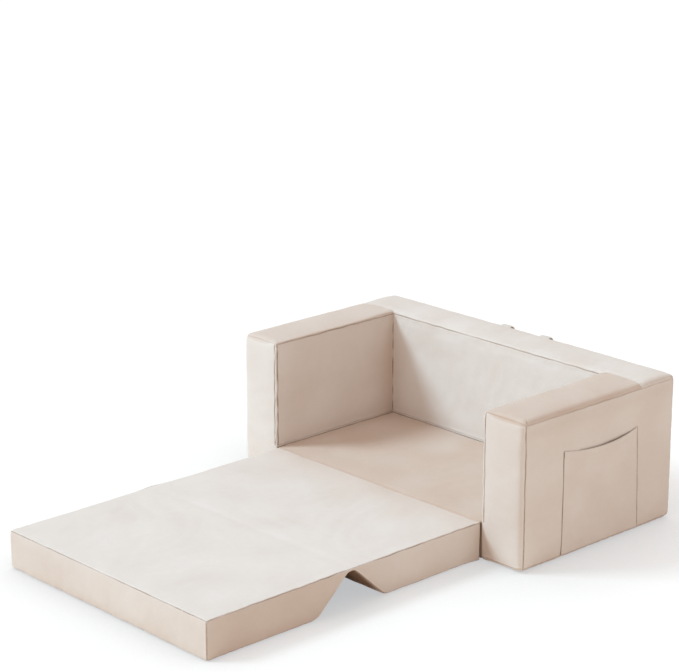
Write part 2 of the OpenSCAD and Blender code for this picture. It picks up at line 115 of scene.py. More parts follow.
# Slits for the zips: half their width, their depth and the width of their walls
SLIT_HALF = 0.00425
SLIT_DEEP = 0.0072
SLOPE_SLIT_DEEP = 0.0084
SLIT_WALL = 0.0004
frame_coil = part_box("frame_zip_coil")
FRAME_ZIP_Z = (frame_coil[0].z + frame_coil[1].z) / 2
FRAME_ZIP_HALF = frame_coil[1].x
PANEL_ZIP_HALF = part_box("seat_zip_coil")[1].x
PANEL_ZIP_Y = 0.0429
PANEL_ZIP_Z = 0.041
SEAT_ZIP_Y, BACKREST_ZIP_Y = HINGE[1] + PANEL_ZIP_Y, HINGE[1] - PANEL_ZIP_Y

# The pockets on the arms' outer faces
pocket_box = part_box("right_pocket")
POCKET_FRONT = pocket_box[0].y - 0.0035
POCKET_REAR = pocket_box[1].y - 0.0005
POCKET_TOP = pocket_box[1].z
POCKET_LEAN = 0.0115
POCKET_WIDE = POCKET_REAR - POCKET_FRONT - POCKET_LEAN
POCKET_SAG = 0.012
POCKET_OPEN = 0.0044
POCKET_LOW = 0.0105
POCKET_CLOTH = 0.0013
HEM_HEIGHT = 0.015
# The strap of the handle, and the loop that it makes
STRAP_HALF = 0.014
STRAP_THICK = 0.0036
STRAP_SPAN = 0.114
STRAP_DROP = 0.076
STRAP_BEND = 0.010
STRAP_TURN = 0.026
# Nylon zips: depth of their coils behind the cover's face, and their teeth
COIL_DEEP = 0.006
COIL_HIGH = 0.002
COIL_OUT = 0.00265
TOOTH_PITCH = 0.0016
TOOTH_APART = 0.0003
STOP_LONG = 0.005
SLANT = math.sqrt(0.5)

# Steps of the meshes, before they are divided twice
FINE = 0.0033
COARSE = 0.012
# The cloth step: mesh, frames, pressure, spare cloth and hold of the foam behind it
TWIN_STEP = 0.0065
TWIN_FRAMES = 20
TWIN_PRESSURE = 3.0
TWIN_SPARE = 0.012
TWIN_HOLD = 0.12


def arch(share):
    """A rise from 0 at both ends to 1 in the middle."""
    share = np.clip(share, 0, 1)
    return 4 * share * (1 - share)


def smooth(share):
    """A soft step from 0 to 1."""
    share = np.clip(share, 0, 1)
    return share * share * (3 - 2 * share)


def hump(distance, width):
    """A bell of height 1 round distance 0."""
    return np.exp(-((distance / width) ** 2))


def unit(vectors):
    return vectors / np.maximum(np.linalg.norm(vectors, axis=1), 1e-9)[:, None]


def graded(marks, fine=FINE, coarse=COARSE, growth=1.4):
    """Places along one axis, close together at every mark and wider between."""
    places = [marks[0]]
    for low, high in zip(marks, marks[1:]):
        steps, step = [], fine
        while step < coarse and 2 * (sum(steps) + step) < high - low - step:
            steps.append(step)
            step *= growth
        middle = high - low - 2 * sum(steps)
        count = max(1, round(middle / min(step, coarse)))
        widths = steps + [middle / count] * count + steps[::-1]
        places.extend(low + np.cumsum(widths))
    return places


def slit_marks(middle, stretch=1.0):
    """Marks along one axis at both walls of a slit."""
    half, wall = SLIT_HALF * stretch, SLIT_WALL * stretch
    return [middle - half, middle - half + wall, middle + half - wall, middle + half]


class Cage:
    """A closed skin of flat, square-edged patches that share their border points."""

    def __init__(self):
        self.index, self.points, self.faces = {}, [], []

    def point(self, place):
        key = tuple(round(c * 1e6) for c in place)
        if key not in self.index:
            self.index[key] = len(self.points)
            self.points.append(place)
        return self.index[key]

    def patch(self, axis, level, us, vs, facing):
        """A patch at `level` along `axis`, facing along it or, with -1, against it."""
        rows = []
        for u in us:
            row = []
            for v in vs:
                place = [u, v]
                place.insert(axis, level)
                row.append(self.point(tuple(place)))
            rows.append(row)
        natural = facing > 0 if axis != 1 else facing < 0
        for a, b in zip(rows, rows[1:]):
            for i in range(len(vs) - 1):
                quad = (a[i], b[i], b[i + 1], a[i + 1])
                self.faces.append(quad if natural else quad[::-1])

    def box(self, xs, ys, zs):
        for axis, (us, vs) in enumerate(((ys, zs), (xs, zs), (xs, ys))):
            for facing, place in ((-1, 0), (1, -1)):
                self.patch(axis, (xs, ys, zs)[axis][place], us, vs, facing)


def soften(points, cores, radius):
    """Moves square-edged points to `radius` from the nearest core box."""
    moved, normals = points.copy(), np.zeros_like(points)
    nearest = np.full(len(points), np.inf)
    for low, high in cores:
        near = np.clip(points, low, high)
        away = points - near
        gap = np.maximum(np.linalg.norm(away, axis=1), 1e-9)
        closer = gap < nearest - 1e-9
        normal = away / gap[:, None]
        moved[closer] = (near + radius * normal)[closer]
        normals[closer] = normal[closer]
        nearest[closer] = gap[closer]
    return moved, normals


def soften_both(points, cores, wide, tight, tighter):
    """Points and normals softened to the wide radius, or to the tight one where
    `tighter` is 1. `cores` gives the core boxes for a radius."""
    soft, normals = soften(points, cores(wide), wide)
    close, close_normals = soften(points, cores(tight), tight)
    tighter = tighter[:, None]
    return soft + (close - soft) * tighter, unit(normals + (close_normals - normals) * tighter)


def ripples(points, length, seed, waves=14):
    """Smooth noise of about that wavelength, the same on every run, about -1 to 1."""
    random = np.random.default_rng(seed)
    ways = random.normal(size=(waves, 3))
    ways /= np.linalg.norm(ways, axis=1)[:, None]
    sizes = 2 * math.pi / length * random.uniform(0.7, 1.4, waves)
    turns = random.uniform(0, 2 * math.pi, waves)
    return np.sin(points @ (ways * sizes[:, None]).T + turns).sum(axis=-1) / math.sqrt(waves)


def read(rows, name, kind=float, width=3):
    """Rows of numbers from a mesh."""
    flat = np.zeros(len(rows) * width, kind)
    rows.foreach_get(name, flat)
    return flat.reshape(-1, width)


def read_points(data):
    return read(data.vertices, "co")


def read_normals(data):
    return read(data.vertex_normals, "vector")


def write_points(data, points):
    data.vertices.foreach_set("co", np.asarray(points, np.float32).ravel())
    data.update()


def paint(data, name, values):
    """Keeps one number a point on a mesh, for its material."""
    mark = data.attributes.get(name) or data.attributes.new(name, "FLOAT", "POINT")
    mark.data.foreach_set("value", np.asarray(values, np.float32))


def in_scene(name, data):
    made = bpy.data.objects.new(name, data)
    bpy.context.scene.collection.objects.link(made)
    return made


def make_object(name, points, faces):
    """A smooth mesh object at the origin."""
    data = bpy.data.meshes.new(name)
    data.from_pydata([tuple(p) for p in points], [], [tuple(f) for f in faces])
    data.update()
    data.polygons.foreach_set("use_smooth", [True] * len(data.polygons))
    return in_scene(name, data)


def apply_modifiers(piece):
    """Replaces a piece's mesh by what its modifiers make of it."""
    graph = bpy.context.evaluated_depsgraph_get()
    made = bpy.data.meshes.new_from_object(piece.evaluated_get(graph))
    piece.modifiers.clear()
    old = piece.data
    piece.data = made
    bpy.data.meshes.remove(old)


def subdivide(piece):
    rounder = piece.modifiers.new("rounder", "SUBSURF")
    rounder.levels = rounder.render_levels = 1
    apply_modifiers(piece)


def tree_of(points):
    """The points in a tree that finds the nearest ones."""
    tree = KDTree(len(points))
    for i, p in enumerate(points):
        tree.insert(p, i)
    tree.balance()
    return tree


class Seams:
    """Sewn lines on a cover: points along them, and how they pucker the cloth."""

    STEP = 0.0015

    def __init__(self, lines, lay, seed, fade=None):
        """`lines` are (start, end, depth, lip, pucker, wander, tone) on the
        square-edged skin. `lay` puts such points on the soft one, and `fade` gives
        how much the seams move the cloth at a point."""
        self.random = np.random.default_rng(seed)
        self.fade = fade
        self.puckers, rows = [], []
        for number, (start, end, deep, lips, pucker, wander, dark) in enumerate(lines):
            start, end = np.array(start, float), np.array(end, float)
            length = np.linalg.norm(end - start)
            count = max(2, round(length / self.STEP))
            share = np.linspace(0, 1, count + 1)[:, None]
            laid, normals = lay(start + (end - start) * share)
            side = unit(np.cross(normals, np.gradient(laid, axis=0)))
            laid = laid + side * (wander * ripples(laid, 0.035, seed + number))[:, None]
            same = (np.full(count + 1, value) for value in (number, deep, lips, dark))
            rows.append((laid, side, share[:, 0] * length, *same))
            self.puckers.append(self.plan_puckers(length, pucker))
        columns = (np.concatenate(column) for column in zip(*rows))
        self.points, self.across, self.along, self.line, self.depth, self.lip, self.tone = columns

    def plan_puckers(self, length, strength):
        """Place, depth, half width, reach and lean of each pucker, deeper near the
        ends of the seam."""
        found, place = [], 0.004
        while strength and place < length - 0.004:
            near_end = math.exp(-min(place, length - place) / 0.03)
            depth = strength * (self.random.uniform(0.1, 0.8) + 0.9 * near_end)
            width = self.random.uniform(0.0025, 0.006)
            reach = self.random.uniform(0.006, 0.02) * (1 + 0.8 * near_end)
            found.append((place, depth, width, reach, self.random.uniform(-0.5, 0.5)))
            place += self.random.uniform(0.008, 0.03)
        return found

    def nearest(self, points):
        """For each point its nearest seam point, the distance and the side."""
        tree = tree_of(self.points)
        found = np.array([tree.find(p)[1:] for p in points])
        index, gap = found[:, 0].astype(int), found[:, 1]
        side = np.einsum("ij,ij->i", points - self.points[index], self.across[index])
        return index, gap, np.sign(side)

    def press(self, data):
        """Sinks the seams into the cloth, raises their lips and puckers the cloth
        beside them. Returns how deep each point is in a seam, and how far on a lip."""
        points, normals = read_points(data), read_normals(data)
        index, gap, side = self.nearest(points)
        line, along = self.line[index], self.along[index]
        depth, lip = self.depth[index], self.lip[index]
        wander = ripples(points, 0.04, 5)
        groove = hump(gap, 0.0011)
        raised = hump(gap - 0.0028, 0.0014) * (0.75 + 0.5 * side * np.sign(lip))
        move = -depth * groove + np.abs(lip) * raised * (1 + 0.5 * wander)
        for number, planned in enumerate(self.puckers):
            mine = np.flatnonzero((line == number) & (gap < 0.05))
            for place, deep, width, reach, lean in planned:
                off = along[mine] - place - lean * gap[mine]
                shape = hump(off, width + 0.12 * gap[mine])
                fade = np.exp(-gap[mine] / reach) * (1 - hump(gap[mine], 0.0015))
                move[mine] -= deep * shape * fade
        if self.fade:
            move *= self.fade(points)
        write_points(data, points + normals * move[:, None])
        return groove * self.tone[index], raised


# The frame's cover: one sewn piece over both arms and the back
def frame_cores(round_):
    low, high = FRAME_SOLE + round_, TOP - round_
    front, rear, back = FRONT + round_, REAR - round_, BACK + round_
    outer, inner = OUTER - round_, INNER + round_
    return [
        ((-outer, front, low), (-inner, rear, high)),
        ((inner, front, low), (outer, rear, high)),
        ((-outer, back, low), (outer, rear, high)),
    ]


def frame_cage():
    right = graded([INNER, INNER + LIP_IN, INNER + 2 * LIP_IN, OUTER - SEAM_IN, OUTER])
    left = [-x for x in reversed(right)]
    ends = [FRAME_ZIP_HALF - SLIT_WALL, FRAME_ZIP_HALF]
    middle = graded([-INNER, -ends[1], -ends[0], ends[0], ends[1], INNER])
    across = left + middle[1:-1] + right
    arm_y = graded([FRONT, FRONT + LIP_IN, FRONT + SEAM_IN, BACK])
    back_y = graded([BACK, BACK + NOOK_SEAM_IN, REAR - SEAM_IN, REAR - STRAP_SEAM_IN, REAR])
    deep = arm_y + back_y[1:]
    up = graded([
        FRAME_SOLE, SEAM_IN, *slit_marks(FRAME_ZIP_Z), CRACK_Z,
        TOP - SEAM_IN, TOP - NOOK_SEAM_IN, TOP,
    ])
    cage = Cage()
    for side, arm_x in ((-1, left), (1, right)):
        cage.patch(0, side * OUTER, deep, up, side)
        cage.patch(0, side * INNER, arm_y, up, -side)
        cage.patch(1, FRONT, arm_x, up, -1)
        for level, facing in ((FRAME_SOLE, -1), (TOP, 1)):
            cage.patch(2, level, arm_x, arm_y, facing)
    cage.patch(1, REAR, across, up, 1)
    cage.patch(1, BACK, middle, up, -1)
    for level, facing in ((FRAME_SOLE, -1), (TOP, 1)):
        cage.patch(2, level, across, back_y, facing)
    return cage


def lay_frame(points):
    """Square-edged points of the frame laid on its soft, crowned shape."""
    points = np.asarray(points, float)
    x, y, z = points.T
    from_nook = np.hypot(np.maximum(np.abs(x) - INNER, 0), np.maximum(y - BACK, 0))
    tighter = smooth(1 - from_nook / 0.035)
    soft, normals = soften_both(points, frame_cores, FRAME_ROUND, NOOK_ROUND, tighter)
    # Beside the mattress the arms' inner front edges are crisp and stand inwards
    drawn = np.hypot(np.abs(x) - INNER, y - FRONT)
    drawn = smooth((0.088 - z) / 0.012) * smooth(1.4 - drawn / 0.012)
    soft += (points - soft) * (0.75 * drawn * (z > 0.01))[:, None]
    soft[:, 0] -= np.sign(x) * 0.0014 * drawn
    deep, up = (y - FRONT) / (REAR - FRONT), z / TOP
    arm_share = (np.abs(x) - INNER) / (OUTER - INNER)
    on_outer = np.abs(x) > (INNER + OUTER) / 2
    inner_bulge = INNER_BULGE * arch((y - FRONT) / (BACK - FRONT)) * (y < BACK)
    side = np.where(on_outer, OUTER_BULGE * arch(deep), inner_bulge)
    above_base = arch((z - PANEL_TOP) / (TOP - PANEL_TOP))
    rear_bulge = OUTER_BULGE * arch((x + OUTER) / (2 * OUTER))
    end = np.where(y < (FRONT + BACK) / 2, FRONT_BULGE * arch(arm_share), rear_bulge)
    end *= np.abs(y - BACK) > 0.01
    over = np.where(y < BACK, arch(arm_share), arch((y - BACK) / (REAR - BACK)))
    lift = (
        normals[:, 0] ** 2 * side * np.where(on_outer, arch(up), above_base)
        + normals[:, 1] ** 2 * end * arch(up)
        + np.maximum(normals[:, 2], 0) ** 2 * FRAME_CROWN * over
    )
    # The arms' inner rear corners stand up a little where three seams meet
    corner = np.hypot(np.abs(x) - INNER - 0.01, y - BACK + 0.02)
    lift += np.maximum(normals[:, 2], 0) * 0.003 * hump(corner, 0.06) * (y < BACK + 0.02)
    soft += normals * lift[:, None]
    # The zip's slit in the rear face
    slit = (y > REAR - 1e-6) & (np.abs(z - FRAME_ZIP_Z) < SLIT_HALF - SLIT_WALL / 2)
    slit &= np.abs(x) < FRAME_ZIP_HALF - SLIT_WALL / 2
    soft[slit, 1] = REAR - SLIT_DEEP
    return soft, normals


def frame_seams():
    low, high = SEAM_IN, TOP - SEAM_IN
    nook = TOP - NOOK_SEAM_IN
    front, rear, strap = FRONT + SEAM_IN, REAR - SEAM_IN, REAR - STRAP_SEAM_IN
    plain, deep, shallow = 0.0013, 0.0017, 0.0007
    lines = []
    for s in (-1, 1):
        o, i = s * OUTER, s * INNER
        lip_x, lip_y = i + s * LIP_IN, FRONT + LIP_IN
        lines += [
            ((o, front, high), (o, rear, high), plain, s * 0.0002, 0.0012, 0.0004, 0.35),
            ((o, front, low), (o, front, high), deep, s * 0.0002, 0.0006, 0.0004, 1.3),
            ((o, rear, low), (o, rear, high), plain, s * 0.0005, 0.0007, 0.0003, 0.5),
            ((o, front, low), (o, rear, low), plain, s * 0.0004, 0.0020, 0.0005, 0.7),
            ((i, front, nook), (i, BACK, nook), plain, 0.0007, 0.0007, 0.0004, 1.1),
            ((i, lip_y, CRACK_Z), (i, lip_y, nook), 0.0018, 0, 0.0004, 0.0004, 2.2),
            ((i, FRONT, CRACK_Z), (i, FRONT, nook), -0.0012, 0, 0, 0.0003, 0),
            ((lip_x, FRONT, CRACK_Z), (lip_x, FRONT, nook), 0.0016, 0, 0.0004, 0.0004, 1.8),
            ((i, BACK, PANEL_TOP), (i, BACK, nook), 0.0008, 0, 0.0006, 0.0006, 2.5),
            ((i, front, CRACK_Z), (i, BACK, CRACK_Z), 0.0005, 0.0003, 0, 0.0006, 0.35),
            ((i, BACK, TOP), (o, BACK, TOP), plain, 0.0007, 0.0010, 0.0004, 0.5),
            ((o, BACK, TOP), (o, BACK, high), plain, 0, 0, 0, 0.4),
            ((i, FRONT, TOP), (o, FRONT, TOP), shallow, 0, 0.0003, 0.0003, 0.3),
            ((o, FRONT, TOP), (o, front, high), shallow, 0, 0, 0, 0.3),
            ((o, strap, TOP), (o, rear, high), plain, 0, 0, 0, 0.5),
            ((o, REAR, low), (o, rear, low), plain, 0, 0, 0, 0.5),
            ((i, FRONT, low), (o, FRONT, low), plain, 0.0004, 0.0009, 0.0003, 0.5),
            ((o, FRONT, low), (o, front, low), plain, 0, 0, 0, 0.5),
        ]
        for y, lean in ((POCKET_FRONT - 0.0006, 0), (POCKET_REAR + 0.0014, POCKET_LEAN)):
            ends = (o, y, POCKET_LOW), (o, y - lean, POCKET_TOP)
            lines.append((*ends, 0.0015, 0.0004, 0.0003, 0.0002, 1.8))
    lines += [
        ((-INNER, BACK, nook), (INNER, BACK, nook), plain, 0.0006, 0.0008, 0.0004, 1.1),
        ((-INNER, BACK, CRACK_Z), (INNER, BACK, CRACK_Z), 0.0005, 0.0003, 0, 0.0006, 0.35),
        ((-OUTER, strap, TOP), (OUTER, strap, TOP), plain, 0.0005, 0.0009, 0.0003, 0.5),
        ((-OUTER, REAR, low), (OUTER, REAR, low), plain, 0.0005, 0.0010, 0.0003, 0.5),
    ]
    end, zip_low, zip_high = FRAME_ZIP_HALF + 0.008, FRAME_ZIP_Z - 0.011, FRAME_ZIP_Z + 0.011
    for z in (zip_low, zip_high):
        lines.append(((-end, REAR, z), (end, REAR, z), 0.0005, 0, 0.0004, 0.0002, 0.5))
    for x in (-end, end):
        lines.append(((x, REAR, zip_low), (x, REAR, zip_high), 0.0005, 0, 0, 0, 0.5))
    return Seams(lines, lay_frame, 11)


# The mattress: both panels under one cover, notched under the middle hinge
def notch_height(y):
    """Height of the mattress's underside: two slopes with a blunt top and feet."""
    slope = NOTCH_AIM * (1 - np.abs(y - HINGE[1]) / NOTCH_REACH)
    blunt, foot = 0.0016, 0.004
    blunted = -blunt * np.logaddexp(-slope / blunt, -NOTCH_TOP / blunt)
    return foot * np.logaddexp(blunted / foot, -1.0)


def mattress_cage():
    ends = [PANEL_ZIP_HALF - SLIT_WALL, PANEL_ZIP_HALF]
    across = graded([-PANEL_SIDE, -ends[1], -ends[0], ends[0], ends[1], PANEL_SIDE])
    along = graded([
        PANEL_FOOT, HINGE[1] - NOTCH_REACH, *slit_marks(BACKREST_ZIP_Y, SLANT), HINGE[1] - 0.008,
        HINGE[1] + 0.008, *slit_marks(SEAT_ZIP_Y, SLANT), HINGE[1] + NOTCH_REACH, PANEL_REAR,
    ])
    cage = Cage()
    cage.box(across, along, graded([PANEL_SOLE, PANEL_TOP]))
    return cage


def block_cage(low, high, fine=FINE, coarse=COARSE):
    cage = Cage()
    cage.box(*(graded([a, b], fine, coarse) for a, b in zip(low, high)))
    return cage


def lay_panel(points, sides, low, high, foot_bulge, crisp, reach=0.02):
    """Square-edged points laid on a soft block from low to high, with tighter
    edges within that reach of the depth `crisp`, where it is hinged."""
    low, high, points = np.array(low), np.array(high), np.asarray(points, float)
    tighter = smooth(1.3 - np.abs(points[:, 1] - crisp) / reach)
    soft, normals = soften_both(
        points, lambda round_: [(low + round_, high - round_)], PANEL_ROUND, HINGE_ROUND, tighter
    )
    across, along, up = (arch(share) for share in ((points - low) / (high - low)).T)
    lift = (
        normals[:, 0] ** 2 * sides * up * along ** 0.5
        + np.minimum(normals[:, 1], 0) ** 2 * foot_bulge * up * across ** 0.5
        + np.maximum(normals[:, 2], 0) ** 2 * PANEL_CROWN * (across * along) ** 0.5
    )
    return soft + normals * lift[:, None], normals


def lay_mattress(points):
    points = np.asarray(points, float)
    soft, normals = lay_panel(points, PANEL_BULGE, PANEL_LOW, PANEL_HIGH, FOOT_BULGE, PANEL_REAR)
    # The corners by the front hinge spread a little, and the rim stands up and waves
    spread_out = 0.0034 * np.exp((soft[:, 1] - PANEL_REAR) / 0.02)
    soft[:, 0] += spread_out * np.clip(soft[:, 0] / (PANEL_SIDE - 0.004), -1, 1) ** 9
    rim = np.exp(-np.maximum(0, PANEL_REAR - soft[:, 1]) / 0.006) * np.maximum(normals[:, 2], 0)
    wave = np.clip(0.5 + 0.5 * ripples(soft * (1, 0, 0), 0.06, 39), 0, 1)
    soft[:, 2] += rim * (0.0010 + 0.0008 * wave + 0.0018 * hump(soft[:, 0] + 0.272, 0.018))
    floor = notch_height(soft[:, 1]) - notch_height(PANEL_FOOT)
    soft[:, 2] = floor + soft[:, 2] * (PANEL_TOP - floor) / PANEL_TOP
    # The zips' slits in both slopes
    away = np.abs(points[:, 1] - HINGE[1]) - PANEL_ZIP_Y
    slit = (points[:, 2] < PANEL_SOLE + 1e-6) & (np.abs(away) < SLANT * (SLIT_HALF - SLIT_WALL / 2))
    slit &= np.abs(points[:, 0]) < PANEL_ZIP_HALF - SLIT_WALL / 2
    inwards = np.sign(points[:, 1] - HINGE[1])
    soft[slit, 1] += (inwards * SLOPE_SLIT_DEEP * SLANT)[slit]
    soft[slit, 2] += SLOPE_SLIT_DEEP * SLANT
    return soft, normals


def block_seams(lay, low, high, depth, pucker, seed, tone, fade=None):
    """The seams along every edge of a block."""
    lines = []
    xs, ys, zs = zip(low, high)
    for z in zs:
        deep = depth if z == zs[1] else depth * 0.7
        for x in xs:
            lines.append(((x, ys[0], z), (x, ys[1], z), deep, 0.0005, pucker, 0.0003, tone))
        for y in ys:
            lines.append(((xs[0], y, z), (xs[1], y, z), deep, 0.0006, pucker, 0.0003, tone))
    for x in xs:
        for y in ys:
            lines.append(((x, y, zs[0]), (x, y, zs[1]), depth, 0.0003, pucker * 0.5, 0.0003, tone))
    return Seams(lines, lay, seed, fade)


def beside_notch(points):
    """The seams lie calmer beside the notch, where the mattress is thin."""
    return 0.3 + 0.7 * smooth(np.abs(points[:, 1] - HINGE[1]) / 0.035)


def lay_base(points):
    # Crisp all over, and its front edge lies lower, under the mattress's rim
    soft, normals = lay_panel(points, 0, BASE_LOW, BASE_HIGH, 0, BASE_FRONT, 9.0)
    soft[:, 2] -= 0.0016 * np.exp((BASE_FRONT - soft[:, 1]) / 0.008) * (soft[:, 2] > 0.05)
    return soft, normals


def capped(values, out_cap, in_cap):
    """Values that level off softly at a cap on each side."""
    cap = np.where(values > 0, out_cap, in_cap)
    return cap * np.tanh(values / cap)


def averaged(values, edges, rounds):
    """Values at a mesh's points, evened out along its edges."""
    ends = np.concatenate([edges, edges[:, ::-1]])
    count = np.maximum(np.bincount(ends[:, 0], minlength=len(values)), 1)
    for _ in range(rounds):
        around = np.bincount(ends[:, 0], weights=values[ends[:, 1]], minlength=len(values))
        values = 0.4 * values + 0.6 * around / count
    return values


def billow(piece, seams, swell_caps, fold_caps):
    """Inflates an even copy of the piece as cloth that its seams hold, and lets the
    piece follow it: its broad swell and its folds, each within its own caps."""
    twin = in_scene("twin", piece.data.copy())
    even = twin.modifiers.new("even", "REMESH")
    even.mode = "VOXEL"
    even.voxel_size = TWIN_STEP
    apply_modifiers(twin)
    rest, normals = read_points(twin.data), read_normals(twin.data)
    held = np.clip(1.2 - seams.nearest(rest)[1] / 0.006, TWIN_HOLD, 1.0)
    group = twin.vertex_groups.new(name="held")
    levels = np.round(held * 40).astype(int)
    for level in np.unique(levels):
        group.add(np.flatnonzero(levels == level).tolist(), level / 40, "REPLACE")
    cloth = twin.modifiers.new("cloth", "CLOTH")
    cloth.collision_settings.use_collision = False
    cloth.point_cache.frame_start, cloth.point_cache.frame_end = 1, TWIN_FRAMES
    settings = cloth.settings
    settings.quality = 4
    settings.mass = 0.3
    settings.tension_stiffness = settings.compression_stiffness = 15
    settings.shear_stiffness = 5
    settings.bending_stiffness = 0.3
    settings.vertex_group_mass = "held"
    settings.use_pressure = True
    settings.uniform_pressure_force = TWIN_PRESSURE
    settings.shrink_min = -TWIN_SPARE
    settings.effector_weights.gravity = 0
    for step in range(1, TWIN_FRAMES + 1):
        bpy.context.scene.frame_set(step)
    graph = bpy.context.evaluated_depsgraph_get()
    moved = read_points(twin.evaluated_get(graph).data)
    out = np.einsum("ij,ij->i", moved - rest, normals)
    edges = read(twin.data.edges, "vertices", int, 2)
    fine = averaged(out, edges, 3)
    broad = averaged(fine, edges, 60)
    out = capped(broad, *swell_caps) + capped(fine - broad, *fold_caps)
    bpy.data.objects.remove(twin)
    bpy.context.scene.frame_set(1)
    tree = tree_of(rest)
    points, normals = read_points(piece.data), read_normals(piece.data)
    follow = np.zeros(len(points))
    for i, p in enumerate(points):
        near = tree.find_n(p, 5)
        weights = [1 / (gap + 0.0008) for _, _, gap in near]
        follow[i] = sum(w * out[k] for w, (_, k, _) in zip(weights, near)) / sum(weights)
    write_points(piece.data, points + normals * follow[:, None])


def cover(
    name, cage, lay, seams, tone, seed, dents, sole,
    swell_caps=(0.0002, 0.0005), fold_caps=(0.0002, 0.0006),
):
    """A padded cover: laid softly, inflated, divided, dented by use and sewn. Its
    underside lies flat at the height `sole` wherever it would reach lower."""
    laid, _ = lay(cage.points)
    piece = make_object(name, laid, cage.faces)
    subdivide(piece)
    billow(piece, seams, swell_caps, fold_caps)
    subdivide(piece)
    data = piece.data
    points, normals = read_points(data), read_normals(data)
    wide = ripples(points, 0.16, seed) * 0.6 + ripples(points, 0.07, seed + 1) * 0.4
    write_points(data, points - normals * (dents * np.clip(0.5 + 0.6 * wide, 0, 1.4))[:, None])
    dark, lips = seams.press(data)
    pressed = read_points(data)
    pressed[:, 2] = np.maximum(pressed[:, 2], sole)
    write_points(data, pressed)
    nap, shade = tone(points, normals)
    # Painted tones: the nap with painted shade, lighter on the seams' raised lips as a painted
    # highlight; then the seams' dark with painted shade
    paint(data, "nap", np.clip(nap + 0.05 * ripples(points, 0.12, seed + 2) - 0.12 * lips, 0, 1))
    paint(data, "seam", np.clip(np.maximum(dark, shade), 0, 1))
    return piece


def facing(normals, way, start=0.5):
    """How much normals point one way, from 0 to 1."""
    return smooth((normals @ np.array(way, float) - start) / 0.35)


def mouth_height(y):
    """Height of a pocket's mouth, which sags between its corners."""
    return POCKET_TOP - POCKET_SAG * arch((y - POCKET_FRONT) / POCKET_WIDE)


def frame_tone(points, normals):
    """Tones painted on the frame's cover. The first array is the nap, which lies another way on
    each panel and darkens it, together with painted shade: on the arms' inner faces, deeper toward
    the nook; the left arm's painted shadow on the back's inner face; the mattress's painted shadow
    low on the arm fronts; a painted shade under the outer faces' top roll. The outer faces also
    grow darker towards the bottom. The
    second array is painted shade: under the pockets' mouths and in the cracks beside the mattress."""
    x, y, z = points.T
    right = x > 0
    to_left, to_right = facing(normals, (-1, 0, 0)), facing(normals, (1, 0, 0))
    inner = np.where(right, to_left, to_right) * (y < BACK + 0.004)
    outer = np.where(right, to_right, to_left) * (np.abs(x) > INNER + 0.05)
    on_arm = smooth((BACK - y) / 0.004 + 0.5)
    front, rear = facing(normals, (0, -1, 0)), facing(normals, (0, 1, 0))
    # Painted shadow of the mattress: a triangle low on the arms' fronts beside it
    low = smooth((0.073 - 0.74 * (np.abs(x) - INNER) - z) / 0.03 + 0.5) * (y < FRONT + 0.02)
    # Nap tone per panel, with painted shade on the inner faces, the left arm's painted shadow on
    # the back's inner face, and painted shade under the outer faces' top roll
    nap = (
        facing(normals, (0, 0, 1), 0.2) * (0.22 + on_arm * (0.29 + 0.17 * right))
        + inner * (0.34 + 0.40 * np.exp(-np.abs(BACK - y) / 0.06))
        + front * (y > 0) * (0.02 + 0.25 * np.exp(-np.abs(x + INNER) / 0.05))
        + front * (y < 0) * (0.03 + 0.26 * right)
        + front * low * 0.12
        + rear * 0.1
        + outer * (0.30 * np.exp(-z / 0.012) * (1 + 0.5 * ripples(points, 0.04, 51)))
        + outer * (0.06 + 0.12 * hump(z - TOP + 0.026, 0.014))
    )
    # Painted shade at the pockets' mouths: a thin band above the mouth, and darker just under it,
    # fading downward
    above = z - mouth_height(y)
    into = y - POCKET_FRONT
    in_pocket = smooth(into / 0.002) * smooth((POCKET_WIDE - into) / 0.002)
    mouth_shade = outer * in_pocket * (0.5 + 0.4 * smooth(into / POCKET_WIDE))
    mouth_shade *= np.where(above > 0, hump(above, 0.0016), np.exp(np.minimum(above, 0) / 0.02))
    # Painted shade in the cracks beside the mattress, on the arms' and the back's inner faces below
    # the mattress's top
    crack_shade = (np.abs(x) < INNER + 0.0015) * (y < BACK + 0.0015)
    crack_shade = crack_shade * smooth((PANEL_TOP + 0.0005 - z) / 0.003)
    crack_shade *= 1 - facing(normals, (0, -1, 0), 0.3) * (y < 0)
    return nap, np.maximum(mouth_shade, crack_shade)


def base_tone(points, normals):
    # Painted shadow of the left arm on the base's top
    left_arm_shadow = np.exp(-(points[:, 0] + BASE_SIDE) / 0.08)
    # The base is darker than the mattress, most on its top: partly its nap, partly painted shade
    # inside the frame
    nap = 0.35 + facing(normals, (0, 0, 1), 0.2) * (0.42 + 0.10 * left_arm_shadow)
    # Painted shade on its front face in the gaps beside the mattress, and in the grooves along the
    # arms
    front = smooth(-normals[:, 1] * 1.6 - 0.3)
    crack_shade = front * smooth((np.abs(points[:, 0]) - BASE_SIDE) / 0.008 + 1.4)
    edge = smooth((np.abs(points[:, 0]) - BASE_SIDE) / 0.002 + 1.0)
    return nap, np.maximum(crack_shade, edge * 0.7)


